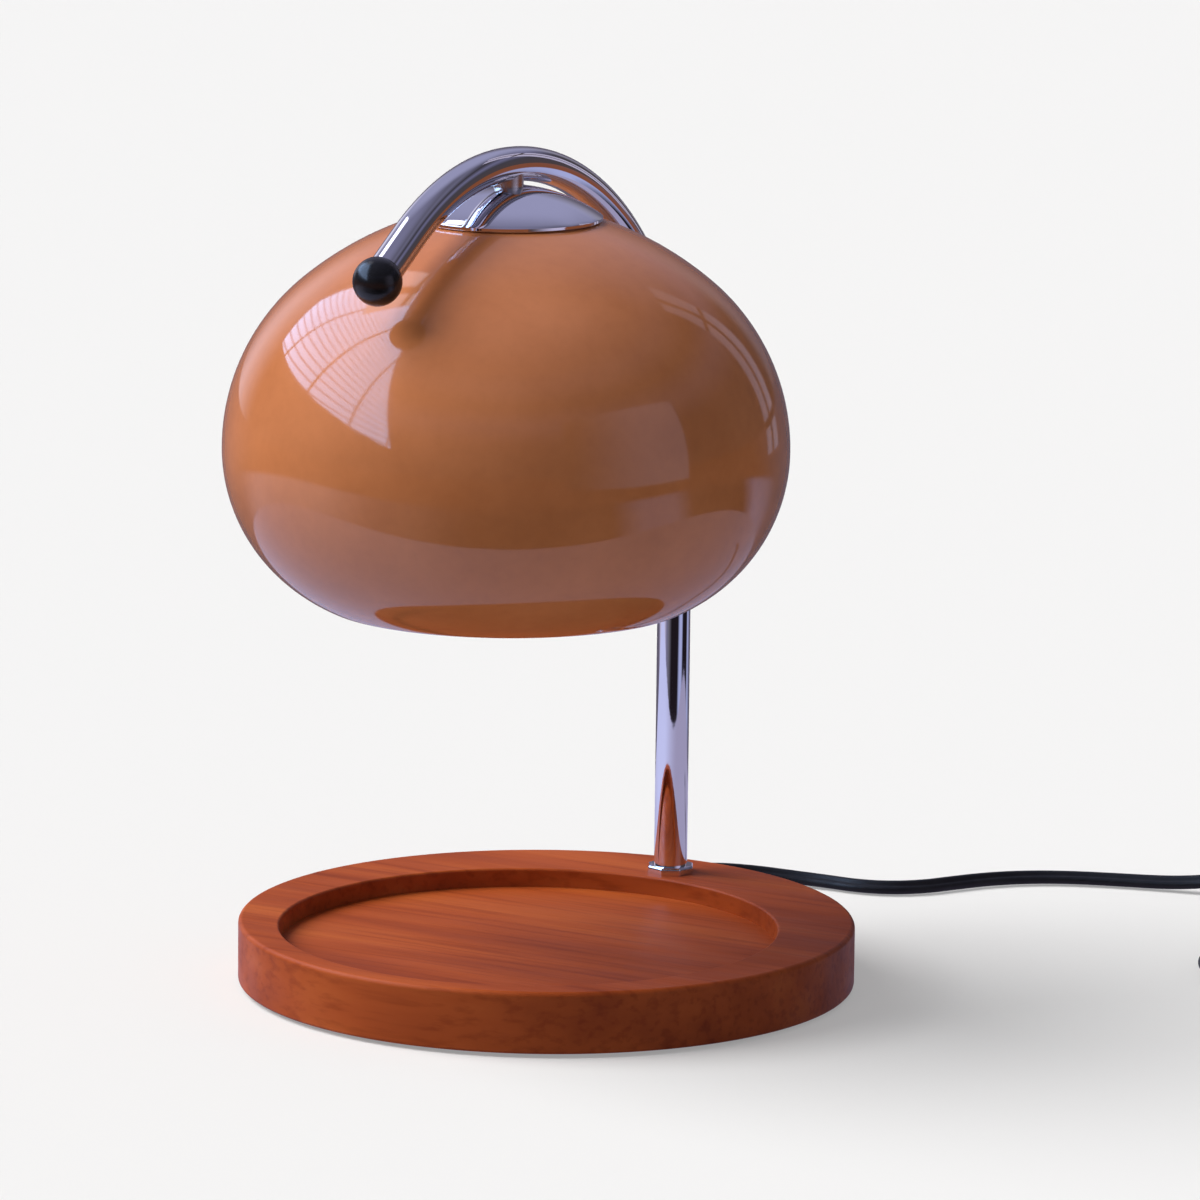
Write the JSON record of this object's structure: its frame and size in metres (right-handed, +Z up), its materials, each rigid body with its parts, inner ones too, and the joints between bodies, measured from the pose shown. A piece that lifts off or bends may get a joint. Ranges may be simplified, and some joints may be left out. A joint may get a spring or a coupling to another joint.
{
  "type": "candle warmer lamp",
  "caption": "Table lamp that melts a candle from above: round wooden base with a sunk tray, bent chrome arm with a ball tip, and a hanging domed metal shade over the tray.",
  "frame": {"origin": "on the table, under the middle of the round base", "axes": "+Z up; the arm stands at +Y and its ball tip points to -Y; the lead leaves at +Y"},
  "size_m": [0.3529, 0.3539, 0.2765],
  "materials": {
    "wood": "satin lacquer, reddish brown",
    "mat": "soft foam sheet, black",
    "steel": "zinc plated",
    "chrome": "mirror polished",
    "black_gloss": "gloss",
    "shade_enamel": "gloss enamel",
    "ceramic": "glazed",
    "bulb_mirror": "silvered inside",
    "bulb_glass": "clear",
    "wire_sleeve": "matte",
    "terminal_plastic": "matte",
    "cord_rubber": "satin",
    "tie": "matte",
    "dimmer_plastic": "satin",
    "wheel_plastic": "ribbed",
    "board": "matte",
    "blade_brass": "polished"
  },
  "bodies": {
    "root": {"arm_clamp_nut": "steel", "arm_clamp_washer": "steel", "arm_collar_nut": "chrome", "arm_foot_stud": "steel", "arm_tube": "chrome", "ball_end": "black_gloss", "ball_pin": "steel", "base_mat": "mat", "bottom_cover": "steel", "coil_tie": "tie", "cord_coil": "cord_rubber", "cord_gland": "cord_rubber", "cord_lead": "cord_rubber", "cord_link": "cord_rubber", "cord_tail": "cord_rubber", "cover_screws": "steel", "dimmer_board": "board", "dimmer_lower_case": "dimmer_plastic", "dimmer_screws": "steel", "dimmer_upper_case": "dimmer_plastic", "dome_cap": "chrome", "dome_spacer": "steel", "holder_screws": "steel", "holder_spacers": "steel", "holder_strap": "steel", "inner_lead": "cord_rubber", "lamp_holder": "ceramic", "lamp_wires": "wire_sleeve", "plug_blades": "blade_brass", "plug_body": "cord_rubber", "shade": "shade_enamel", "shade_nipple": "steel", "shade_nut": "steel", "shade_washer": "steel", "terminal_block": "terminal_plastic", "wheel_axle": "steel", "wood_base": "wood"},
    "bulb": {"bulb_foot": "ceramic", "bulb_pins": "steel", "bulb_reflector": "bulb_mirror", "bulb_lens": "bulb_glass", "bulb_capsule": "bulb_glass"},
    "wheel": {"dimmer_wheel": "wheel_plastic"}
  },
  "joints": [
    {"name": "bulb_twist", "type": "hinge", "parent": "root", "child": "bulb", "pos_m": [0, -0.028, 0.225], "axis": [0, 0, 1], "range_deg": [-20, 0]},
    {"name": "dimmer_turn", "type": "hinge", "parent": "root", "child": "wheel", "pos_m": [0.18781, 0.22095, 0.008], "axis": [0, 0, 1], "range_deg": [0, 270]}
  ]
}
